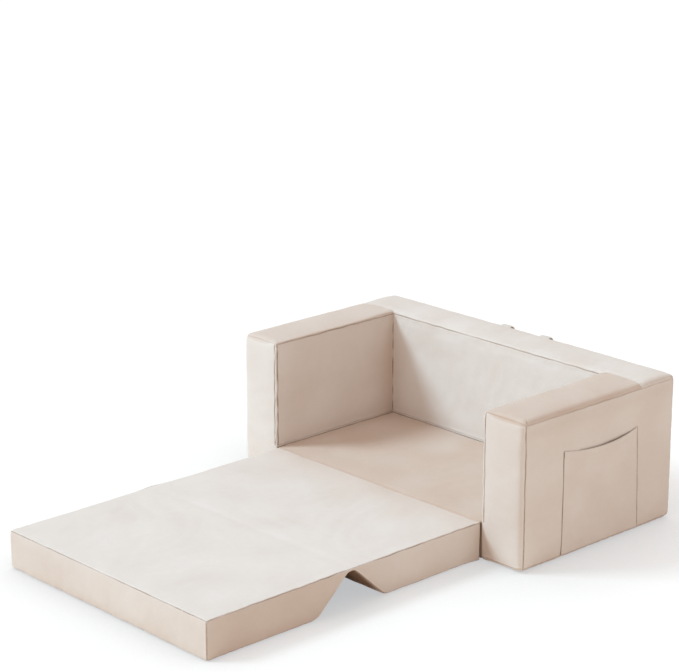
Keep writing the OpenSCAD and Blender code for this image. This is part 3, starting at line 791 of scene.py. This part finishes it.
def mattress_tone(points, normals):
    """Tones painted on the mattress: darker on the sides away from the base and on the foot;
    painted shade on the underside, deepest in the notch under the middle hinge, on the sides and
    top close to the base, and on the rear face against the base."""
    x, y, z = points.T
    side = facing(normals, (1, 0, 0)) + facing(normals, (-1, 0, 0))
    far = smooth((HINGE[1] + 0.12 - y) / 0.2)
    under = smooth(-normals[:, 2] * 2)
    # Nap tone with painted shade: on the underside, and on the sides and top close to the base
    nap = (
        side * (0.12 + 0.34 * far + 0.45 * np.exp((y - PANEL_REAR) / 0.025))
        + facing(normals, (0, -1, 0)) * 0.32
        + under * 0.5
        + facing(normals, (0, 0, 1)) * (0.05 + 0.42 * np.exp((y - PANEL_REAR) / 0.12))
    )
    # Painted shade in the notch under the middle hinge, lighter toward the sides
    notch_shade = under * smooth((NOTCH_REACH - np.abs(y - HINGE[1])) / 0.02) * 0.85
    notch_shade *= 0.2 + 0.8 * smooth((PANEL_SIDE - np.abs(x)) / 0.02)
    nap += notch_shade * 0.6
    # Painted shade on the rear face, against the base
    crack_shade = facing(normals, (0, 1, 0)) * (y > PANEL_REAR - 0.02) * 0.7
    return nap, np.maximum(notch_shade, crack_shade)


def foam_block(node):
    """A frame's foam block, whose cut edges the cover has pressed round."""
    low, high = (np.array(c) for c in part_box(node))
    low[2] += FOAM_RAISE
    cage = block_cage(low, high, 0.004, 0.03)
    laid, _ = soften(np.array(cage.points), [(low + FOAM_ROUND, high - FOAM_ROUND)], FOAM_ROUND)
    return make_object(node + "_block", laid, cage.faces)


def shell(name, outer, inner):
    """A closed thin sheet between two grids of points of the same size. Its first
    way crossed with its second points out of the outer grid."""
    rows, columns = outer.shape[:2]
    points = np.concatenate([outer.reshape(-1, 3), inner.reshape(-1, 3)])
    at = np.arange(rows * columns).reshape(rows, columns)
    under = at + rows * columns
    faces = []
    for i in range(rows - 1):
        for j in range(columns - 1):
            faces.append((at[i, j], at[i + 1, j], at[i + 1, j + 1], at[i, j + 1]))
            faces.append((under[i, j], under[i, j + 1], under[i + 1, j + 1], under[i + 1, j]))
    border = [(i, 0) for i in range(rows)] + [(rows - 1, j) for j in range(1, columns)]
    border += [(i, columns - 1) for i in range(rows - 2, -1, -1)]
    border += [(0, j) for j in range(columns - 2, 0, -1)]
    for a, b in zip(border, border[1:] + border[:1]):
        faces.append((at[a], under[a], under[b], at[b]))
    return make_object(name, points, faces)


def grid(xs, ys):
    """Points over each x and each y, at height 0."""
    return np.stack(np.broadcast_arrays(xs[:, None], ys[None], 0.0), axis=-1).copy()


def outer_face(points):
    """How far an arm's outer face stands out behind such points."""
    deep, up = (points[..., 1] - FRONT) / (REAR - FRONT), points[..., 2] / TOP
    edge = np.maximum(0, FRAME_ROUND - points[..., 2])
    rounding = FRAME_ROUND - np.sqrt(np.maximum(FRAME_ROUND ** 2 - edge ** 2, 0))
    return OUTER + OUTER_BULGE * arch(deep) * arch(up) - rounding


def pocket(name, side, seed):
    alongs = graded([0, 0.012, POCKET_WIDE - 0.012, POCKET_WIDE], 0.0015, 0.005)
    tall = POCKET_TOP - POCKET_LOW
    hem = 1 - HEM_HEIGHT / tall
    ups = graded([0, hem - 0.004, hem, hem + 0.004, 1], 0.006, 0.024)
    along, up = np.meshgrid(np.array(alongs) / POCKET_WIDE, ups, indexing="ij")
    y = POCKET_FRONT + (POCKET_WIDE + POCKET_LEAN * (1 - up)) * along
    z = POCKET_LOW + (tall - POCKET_SAG * arch(along)) * up
    place = np.stack([np.zeros_like(y), y, z], axis=-1)
    inside = (arch(along) * arch(up) ** 0.5) ** 0.5
    noise = ripples(place, 0.09, seed) * 0.5 + ripples(place, 0.035, seed + 1) * 0.3
    inward = smooth(np.minimum(along, 1 - along) * POCKET_WIDE / 0.004)
    stand = POCKET_OPEN * arch(along ** 1.7) * up ** 2.2 + 0.0009 * inside * (1 + 0.8 * noise)
    # Small slanted pulls from the mouth's two ends
    for end in (0.0, 1.0):
        away, down = np.abs(along - end) * POCKET_WIDE, (1 - up) * tall
        stand += 0.0009 * hump(down - 0.9 * away - 0.008, 0.005) * np.exp(-away / 0.03)
    thick = 0.0005 + inward * (POCKET_CLOTH - 0.0005 + 0.0007 * smooth((up - hem) / 0.02 + 0.5))
    stitch = hump((up - hem) * tall, 0.0009)
    face = outer_face(place) - 0.0002
    outer, inner = place.copy(), place.copy()
    outer[..., 0] = side * (face + stand + thick - 0.0004 * stitch)
    inner[..., 0] = side * (face + stand)
    made = shell(name, outer[::side], inner[::side])
    paint(made.data, "nap", 0.06 + 0.05 * ripples(read_points(made.data), 0.1, seed + 2))
    return made


def handle_loop():
    """The strap: out of its seam, over the edge, down, round and up again."""
    half = STRAP_SPAN / 2
    bend_y, bend_z = STRAP_AXIS[1], STRAP_AXIS[2] - STRAP_BEND
    y, bottom = bend_y + STRAP_BEND, STRAP_AXIS[2] - STRAP_DROP + STRAP_HALF
    turn_x, turn_z = -half + STRAP_TURN, bottom + STRAP_TURN
    # Each step of the path: its place, the strap's own X, its outward way, its turn
    path = []
    for angle in np.linspace(math.radians(150), 0, 19):
        way = (0, math.cos(angle), math.sin(angle))
        at = (-half, bend_y + STRAP_BEND * way[1], bend_z + STRAP_BEND * way[2])
        path.append((at, (1, 0, 0), way, 0.0))
    for z in np.linspace(bend_z, turn_z, 12)[1:]:
        path.append(((-half, y, z), (1, 0, 0), (0, 1, 0), 0.0))
    for angle in np.linspace(0, math.pi / 2, 15)[1:]:
        across = (math.cos(angle), 0, math.sin(angle))
        at = (turn_x - STRAP_TURN * across[0], y, turn_z - STRAP_TURN * across[2])
        path.append((at, across, (0, 1, 0), math.sin(2 * angle)))
    for x in np.linspace(turn_x, 0, 10)[1:]:
        path.append(((x, y, bottom), (0, 0, 1), (0, 1, 0), 0.0))
    for at, across, way, turn in path[-2::-1]:
        path.append(((-at[0], at[1], at[2]), (-across[0], across[1], across[2]), way, turn))
    at, across, out, turn = (np.array(v, float) for v in zip(*path))
    half_wide = np.array([0, 0.3, 0.6, 0.72, 0.8, 0.88, 0.96, 1])
    wide = np.concatenate([-half_wide[:0:-1], half_wide])
    points = at[:, None] + across[:, None] * (wide * STRAP_HALF)[None, :, None]
    thinner = np.abs(wide) ** 7 * 0.75
    bulk = STRAP_THICK / 2 * (1 - thinner) - 0.0005 * hump(np.abs(wide) - 0.8, 0.05)
    # Cloth gathers on the inner side of a turn and lies a little uneven elsewhere
    along = np.arange(len(at))[:, None]
    gather = turn[:, None] * np.clip(wide, 0, 1)[None, :] * np.sin(along * 1.9)
    uneven = (0.5 + 0.5 * ripples(points, 0.05, 91)) * 0.0006
    shift = (0.0006 * gather + uneven)[..., None] * out[:, None]
    outer = points + shift + out[:, None] * bulk[None, :, None]
    inner = points + shift - out[:, None] * bulk[None, :, None]
    made = shell("handle_strap", outer[::-1], inner[::-1])
    subdivide(made)
    paint(made.data, "nap", np.full(len(made.data.vertices), 0.15))
    return made


def welt(name, side):
    """The folded cloth that stands up along an arm's inner front edge."""
    heights = np.linspace(PANEL_TOP - 0.004, TOP - 0.010, 110)
    line = np.stack([np.zeros_like(heights), np.zeros_like(heights), heights], axis=-1)
    out, across = np.array((-side * SLANT, -SLANT, 0)), np.array((side * SLANT, -SLANT, 0))
    centre = line + np.array((side * (INNER + 0.0019), FRONT + 0.0019, 0))
    centre += out * (0.0005 * ripples(line, 0.05, 81))[:, None]
    centre += across * (0.0007 * ripples(line, 0.045, 82))[:, None]
    end = np.sqrt(np.clip(np.minimum(heights - heights[0], heights[-1] - heights) / 0.004, 0.02, 1))
    turns = np.linspace(0, 2 * math.pi, 14, endpoint=False)
    size = end * (1 + 0.2 * ripples(line, 0.03, 83))
    rings = (
        centre[:, None]
        + out * (0.0018 * np.sin(turns))[None, :, None] * size[:, None, None]
        + across * (0.0021 * np.cos(turns))[None, :, None] * size[:, None, None]
    )
    count = len(turns)
    last = (len(heights) - 1) * count
    faces = [
        (i + j, i + (j + 1) % count, i + count + (j + 1) % count, i + count + j)
        for i in range(0, last, count) for j in range(count)
    ]
    faces += [tuple(range(count - 1, -1, -1)), tuple(range(last, last + count))]
    if side > 0:
        faces = [face[::-1] for face in faces]
    made = make_object(name, rings.reshape(-1, 3), faces)
    paint(made.data, "nap", np.full(len(made.data.vertices), 0.12))
    return made


def hinge_cloth():
    """The strip that joins the base and the seat, sunk between their edges."""
    bow, half = 0.0038, 0.0046
    reach = BASE_SIDE - 0.005
    xs = np.linspace(-reach, reach, 127)
    across = np.linspace(-half, half, 9)
    sink = np.sqrt(np.maximum(bow ** 2 - np.clip(np.abs(across), 0, 0.0028) ** 2, 0))
    top = grid(xs, FRONT_HINGE[1] - across)
    top[..., 2] = FRONT_HINGE[2] - sink
    top[..., 2] += 0.0002 * ripples(top, 0.03, 95)
    low = top.copy()
    low[..., 2] -= 0.0008
    made = shell("front_hinge_cloth", top[::-1], low[::-1])
    # Painted dark all over: the base's tone and painted shade in the sunken strip
    paint(made.data, "nap", np.full(len(made.data.vertices), 0.9))
    return made


def underside_cloth():
    """The panel sewn in under the frame, with a turned-in edge and its stitches."""
    x, y = OUTER - FRAME_ROUND - 0.0008, REAR - FRAME_ROUND - 0.0008
    top = grid(*(np.array(graded([-far, far], 0.003, 0.012)) for far in (x, y)))
    edge = np.minimum(x - np.abs(top[..., 0]), y - np.abs(top[..., 1]))
    wave = ripples(top, 0.08, 97)
    low = top.copy()
    top[..., 2] = 0.00115
    turned_in = 0.0004 * smooth((edge - 0.008) / 0.004)
    stitched = 0.0003 * hump(edge - 0.006, 0.001)
    low[..., 2] = np.minimum(0.0002 + turned_in + 0.0001 * wave + stitched, 0.0009)
    return shell("underside_cloth", top, low)


def zip_teeth(name, at, across, out, half):
    """Both rows of a zip's teeth, each between two of the other row, and the stops
    at its ends. The zip runs along X."""
    at, across, out, along = (np.array(v, float) for v in (at, across, out, (1, 0, 0)))
    points, faces = [], []

    def block(centre, long, low, high, taper):
        """A small block from low to high across the zip, narrower at its top."""
        first = len(points)
        for level, share in ((0.0, 1.0), (COIL_HIGH * 0.6, 1.0), (COIL_HIGH, taper)):
            for l, a in ((-1, low), (1, low), (1, high), (-1, high)):
                middle = (low + high) / 2
                side = middle + (a - middle) * (0.6 + 0.4 * share)
                place = at + along * (centre + l * long * share) + across * side
                points.append(place + out * (level - COIL_DEEP))
        for ring in (0, 4):
            for i in range(4):
                a, b = first + ring + i, first + ring + (i + 1) % 4
                faces.append((a, b, b + 4, a + 4))
        faces.append(tuple(first + i for i in (3, 2, 1, 0)))
        faces.append(tuple(first + 8 + i for i in range(4)))

    inner = half - STOP_LONG
    for i in range(int(2 * inner / TOOTH_PITCH)):
        centre = -inner + (i + 0.5) * TOOTH_PITCH
        block(centre, TOOTH_PITCH * 0.33, -COIL_OUT, -TOOTH_APART, 0.6)
        if centre + TOOTH_PITCH / 2 < inner:
            block(centre + TOOTH_PITCH / 2, TOOTH_PITCH * 0.33, TOOTH_APART, COIL_OUT, 0.6)
    for end in (-1, 1):
        block(end * (half - STOP_LONG / 2), STOP_LONG / 2, -COIL_OUT, COIL_OUT, 0.85)
    if np.dot(np.cross(along, across), out) < 0:
        faces[:] = [face[::-1] for face in faces]
    made = make_object(name, points, faces)
    made.data.polygons.foreach_set("use_smooth", [False] * len(made.data.polygons))
    return made


# Materials
class Shader:
    """The nodes of a material or world, and short ways to add and join them."""

    def __init__(self, owner):
        owner.use_nodes = True
        self.nodes, self.links = owner.node_tree.nodes, owner.node_tree.links

    def put(self, inputs, values):
        """Gives inputs, by name or number, plain values or other nodes' outputs."""
        for name, value in values.items():
            if isinstance(value, bpy.types.NodeSocket):
                self.links.new(value, inputs[name])
            else:
                inputs[name].default_value = value

    def add(self, kind, values, output=0, **settings):
        """An output of a new node."""
        made = self.nodes.new("ShaderNode" + kind)
        for name, value in settings.items():
            setattr(made, name, value)
        self.put(made.inputs, values)
        return made.outputs[output]

    def mix(self, kind, factor, first, second):
        """A mix of two colours."""
        made = self.nodes.new("ShaderNodeMix")
        made.data_type, made.blend_type = "RGBA", kind
        used = {socket.name: socket for socket in made.inputs if socket.enabled}
        self.put(used, {"Factor": factor, "A": first, "B": second})
        return next(socket for socket in made.outputs if socket.enabled)

    def calc(self, operation, first, second):
        return self.add("Math", {0: first, 1: second}, operation=operation)

    def noise(self, where, scale, detail=3.0, rough=0.55):
        values = {"Vector": where, "Scale": scale, "Detail": detail, "Roughness": rough}
        return self.add("TexNoise", values, "Fac")

    def spread(self, value, low, high, start=0.3, end=0.7):
        """A value from start to end, where most noise lies, brought to low to high."""
        values = {"From Min": start, "From Max": end, "To Min": low, "To Max": high}
        return self.add("MapRange", {"Value": value, **values}, "Result")

    def mark(self, name):
        """The number that `paint` keeps on each point of a mesh."""
        return self.add("Attribute", {}, "Fac", attribute_name=name)

    def bump(self, height, strength, distance):
        values = {"Height": height, "Strength": strength, "Distance": distance}
        return self.add("Bump", values, "Normal")


def material(name):
    """A new material, its nodes, the inputs of its surface and its coordinates."""
    made = bpy.data.materials.new(name)
    shader = Shader(made)
    where = shader.add("TexCoord", {}, "Object")
    return made, shader, shader.nodes["Principled BSDF"].inputs, where


def cloth_material(name, colour, sheen=0.2, pile=1.0, weave=0.0):
    """Short-pile cloth: mottled nap, a fine pile or weave in its bump, dark seams, and the tones
    painted on its mesh: the nap's own tone with painted shade, and painted shade in cracks and
    hollows.
    """
    made, shader, surface, where = material(name)
    stretched = shader.add("Mapping", {"Vector": where, "Scale": (1.0, 1.0, 2.5)})
    broad = shader.noise(stretched, 9.0, 4.0)
    small = shader.noise(where, 60.0, 5.0, 0.65)
    fibre = shader.noise(where, 1500.0, 2.0, 0.7)
    grain = shader.noise(where, 420.0, 3.0, 0.6)
    lighter = tuple(min(1.0, c * 1.012) for c in colour) + (1.0,)
    darker = tuple(c * f for c, f in zip(colour, (0.985, 0.980, 0.976))) + (1.0,)
    tone = shader.mix("MIX", shader.spread(broad, 0.0, 1.0), lighter, darker)
    for share, tint in (
        (shader.spread(small, 0.0, 0.35), (0.95, 0.945, 0.94)),
        (shader.spread(fibre, 0.0, 0.4), (0.88, 0.87, 0.86)),
        # Painted marks from the mesh: the nap's tone with painted shade, and the seams' dark with
        # painted shade
        (shader.mark("nap"), (0.75, 0.60, 0.50)),
        (shader.mark("seam"), (0.50, 0.41, 0.34)),
    ):
        tone = shader.mix("MULTIPLY", share, tone, (*tint, 1.0))
    height = shader.calc("ADD", fibre, grain)
    for way in "XYZ" if weave else "":
        # The threads of a plain weave: a wave of scale 1 repeats every 0.314 m
        values = {"Vector": where, "Scale": 0.314 / weave}
        thread = shader.add("TexWave", values, "Fac", bands_direction=way)
        height = shader.calc("ADD", height, thread)
    shader.put(surface, {
        "Base Color": tone,
        "Roughness": shader.spread(small, 0.84, 0.97),
        # Cloth in the dark of a seam, and under painted shade, has no shine
        "Specular IOR Level": shader.spread(shader.mark("seam"), 0.25, 0.0, 0.0, 1.0),
        "Sheen Weight": shader.spread(shader.mark("seam"), sheen, 0.0, 0.0, 1.0),
        "Sheen Roughness": 0.45,
        "Sheen Tint": (1.0, 0.98, 0.95, 1.0),
        "Normal": shader.bump(height, 0.35 * pile, 0.0006),
    })
    return made


def hard_material(name, colour, rough, metallic=0.0):
    """Moulded plastic or cast metal: a fine uneven finish."""
    made, shader, surface, where = material(name)
    fine, worn = shader.noise(where, 900.0), shader.noise(where, 120.0)
    dull = tuple(c * 0.86 for c in colour) + (1.0,)
    shader.put(surface, {
        "Base Color": shader.mix("MIX", shader.spread(worn, 0.0, 0.6), (*colour, 1.0), dull),
        "Roughness": shader.spread(fine, rough * 0.85, rough * 1.2),
        "Metallic": metallic,
        "Normal": shader.bump(fine, 0.15, 0.0002),
    })
    return made


def foam_material(name, colour):
    """Open-cell foam: small pores in colour and bump."""
    made, shader, surface, where = material(name)
    cells = shader.add("TexVoronoi", {"Vector": where, "Scale": 700.0}, "Distance")
    pore = tuple(c * 0.8 for c in colour) + (1.0,)
    shader.put(surface, {
        "Base Color": shader.mix("MIX", cells, pore, (*colour, 1.0)),
        "Roughness": 0.95,
        "Normal": shader.bump(cells, 0.5, 0.0008),
    })
    return made


def dress(piece, surface, body, slot, *replaced):
    """Gives a piece its material and its body, and hides the nodes it stands for. The slot is not
    used.
    """
    piece.data.materials.clear()
    piece.data.materials.append(surface)
    if replaced:
        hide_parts(*replaced)
    if body:
        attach(piece, body)


suede = cloth_material("suede", (0.835, 0.787, 0.745))
webbing = cloth_material("webbing", (0.77, 0.73, 0.68), weave=0.0011)
tape_cloth = cloth_material("tape_cloth", (0.74, 0.67, 0.59), weave=0.0008)
lining = cloth_material("lining", (0.62, 0.54, 0.46), sheen=0.0, pile=0.6)
coil_plastic = hard_material("coil_plastic", (0.70, 0.64, 0.56), 0.4)
slider_metal = hard_material("slider_metal", (0.66, 0.62, 0.55), 0.32, 0.9)
foam = foam_material("foam", (0.90, 0.84, 0.62))

for nodes, surface in (
    (("frame_zip_tape", "seat_zip_tape", "backrest_zip_tape"), tape_cloth),
    (("frame_zip_slider", "seat_zip_slider", "backrest_zip_slider"), slider_metal),
    (("seat_foam", "backrest_foam"), foam),
):
    for node in nodes:
        shown = bpy.data.objects[node]
        shown.data.materials.clear()
        shown.data.materials.append(surface)
for node in ("left_arm_foam", "right_arm_foam", "back_foam", "base_foam"):
    dress(foam_block(node), foam, "frame", "foam", node)

frame_cover = cover(
    "frame_cover_cloth", frame_cage(), lay_frame, frame_seams(), frame_tone, 21, 0.0006, FRAME_SOLE,
    swell_caps=(0.0012, 0.0008), fold_caps=(0.0005, 0.0006),
)
mattress = cover(
    "mattress_cover_cloth", mattress_cage(), lay_mattress,
    block_seams(lay_mattress, PANEL_LOW, PANEL_HIGH, 0.0014, 0.0007, 31, 1.4, beside_notch),
    mattress_tone, 33, 0.0006, PANEL_SOLE / 2,
)
base = cover(
    "base_cover_cloth", block_cage(BASE_LOW, BASE_HIGH), lay_base,
    block_seams(lay_base, BASE_LOW, BASE_HIGH, 0.0011, 0.0006, 41, 0.9),
    base_tone, 43, 0.0007, FRAME_SOLE,
)
dress(frame_cover, suede, "frame", "cover_fabric", "frame_cover")
dress(base, suede, "frame", "cover_fabric", "base_cover")
dress(mattress, suede, None, "cover_fabric", "seat_cover", "backrest_cover", "middle_hinge")
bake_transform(mattress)

handle = handle_loop()
dress(handle, webbing, "handle", "strap_fabric", "carry_handle")
for side, name in ((-1, "left_arm_welt"), (1, "right_arm_welt")):
    dress(welt(name, side), suede, "frame", "cover_fabric")
hinge = hinge_cloth()
dress(hinge, suede, None, "cover_fabric", "front_hinge")
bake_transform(hinge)
underside = underside_cloth()
dress(underside, lining, "frame", "underside_fabric", "underside_panel")
for body, y, z, across, out, half in (
    ("frame", REAR, FRAME_ZIP_Z, (0, 0, 1), (0, 1, 0), FRAME_ZIP_HALF),
    ("seat", SEAT_ZIP_Y, PANEL_ZIP_Z, (0, SLANT, -SLANT), (0, -SLANT, -SLANT), PANEL_ZIP_HALF),
    (
        "backrest", BACKREST_ZIP_Y, PANEL_ZIP_Z,
        (0, SLANT, SLANT), (0, SLANT, -SLANT), PANEL_ZIP_HALF,
    ),
):
    teeth = zip_teeth(body + "_zip_teeth", (0, y, z), across, out, half)
    dress(teeth, coil_plastic, body, "zip_coil", body + "_zip_coil")

for side, node, seed in ((-1, "left_pocket", 61), (1, "right_pocket", 71)):
    piece = pocket(node + "_cloth", side, seed)
    dress(piece, suede, "frame", "pocket_fabric", node)

# Stage, light and camera
IMAGE_W = 679
FOCAL_PX = 2304.5
CAMERA_AT = (3.2577, -3.3688, 1.7713)
CAMERA_AZIMUTH, CAMERA_ELEVATION, CAMERA_ROLL = 47.001, 16.840, 0.032
FLOOR_THROWS, FLOOR_SHOWS = (0.88, 0.765, 0.66, 1.0), (0.41, 0.388, 0.352, 1.0)
FLOOR_GLOW, FLOOR_GLOW_LEVEL = (0.93, 0.965, 1.0, 1.0), 0.66
DOME, DOME_LEVEL = (0.945, 0.848, 0.79, 1.0), 0.75


def place_camera():
    azimuth, elevation, roll = (
        math.radians(a) for a in (CAMERA_AZIMUTH, CAMERA_ELEVATION, CAMERA_ROLL)
    )
    data = bpy.data.cameras.new("camera")
    data.sensor_width = 36.0
    data.lens = FOCAL_PX * data.sensor_width / IMAGE_W
    data.clip_end = 60.0
    made = in_scene("camera", data)
    made.location = CAMERA_AT
    made.rotation_mode = "XYZ"
    made.rotation_euler = (math.pi / 2 - elevation, roll, azimuth)
    bpy.context.scene.camera = made


def seen_share(shader):
    """1 for rays from the camera, also by way of a reflection or through glass."""
    path = shader.nodes.new("ShaderNodeLightPath").outputs
    most = shader.calc("MAXIMUM", path["Is Camera Ray"], path["Is Glossy Ray"])
    return shader.calc("MAXIMUM", most, path["Is Transmission Ray"])


def floor_material():
    """White to the camera, and a warm white in the light that it throws back."""
    made = bpy.data.materials.new("floor")
    shader = Shader(made)
    surface = shader.nodes["Principled BSDF"]
    seen = seen_share(shader)
    # The shadow close to the object is deeper than the wide light alone makes it
    near = shader.add("AmbientOcclusion", {"Distance": 0.32}, "AO", samples=8)
    kept = shader.spread(near, 0.79, 1.0, 0.5, 0.97)
    grey = shader.add("CombineColor", {"Red": kept, "Green": kept, "Blue": kept})
    tone = shader.mix("MIX", seen, FLOOR_THROWS, FLOOR_SHOWS)
    tone = shader.mix("MULTIPLY", seen, tone, grey)
    finish = {"Base Color": tone, "Roughness": 0.9, "Specular IOR Level": 0.1}
    shader.put(surface.inputs, finish)
    level = shader.calc("MULTIPLY", shader.calc("MULTIPLY", seen, kept), FLOOR_GLOW_LEVEL)
    glow = shader.add("Emission", {"Color": FLOOR_GLOW, "Strength": level})
    both = shader.add("AddShader", {0: surface.outputs[0], 1: glow})
    shader.put(shader.nodes["Material Output"].inputs, {"Surface": both})
    return made


def light_world():
    """An even dome that shows as white to the camera."""
    world = bpy.data.worlds.new("dome")
    bpy.context.scene.world = world
    shader = Shader(world)
    dome = shader.nodes["Background"]
    shader.put(dome.inputs, {"Color": DOME, "Strength": DOME_LEVEL})
    white = shader.add("Background", {"Color": (1.0, 1.0, 1.0, 1.0), "Strength": 1.0})
    pick = shader.add("MixShader", {"Fac": seen_share(shader), 1: dome.outputs[0], 2: white})
    shader.put(shader.nodes["World Output"].inputs, {"Surface": pick})


def sun(name, towards, angle, strength, colour):
    """A distant lamp that shines from the direction `towards`."""
    data = bpy.data.lights.new(name, "SUN")
    data.angle = math.radians(angle)
    data.energy = strength
    data.color = colour
    made = in_scene(name, data)
    x, y, z = towards
    made.rotation_mode = "XYZ"
    made.rotation_euler = (math.atan2(math.hypot(x, y), z), 0, math.atan2(x, -y))


def set_stage():
    side = 14.0
    corners = [(-side, -side, 0), (side, -side, 0), (side, side, 0), (-side, side, 0)]
    floor = make_object("floor", corners, [(0, 1, 2, 3)])
    floor.data.materials.append(floor_material())
    light_world()
    sun("key", (-0.74, -0.80, 1.0), 18, 2.10, (0.65, 0.885, 1.035))
    bpy.context.scene.view_settings.view_transform = "Standard"


place_camera()
set_stage()
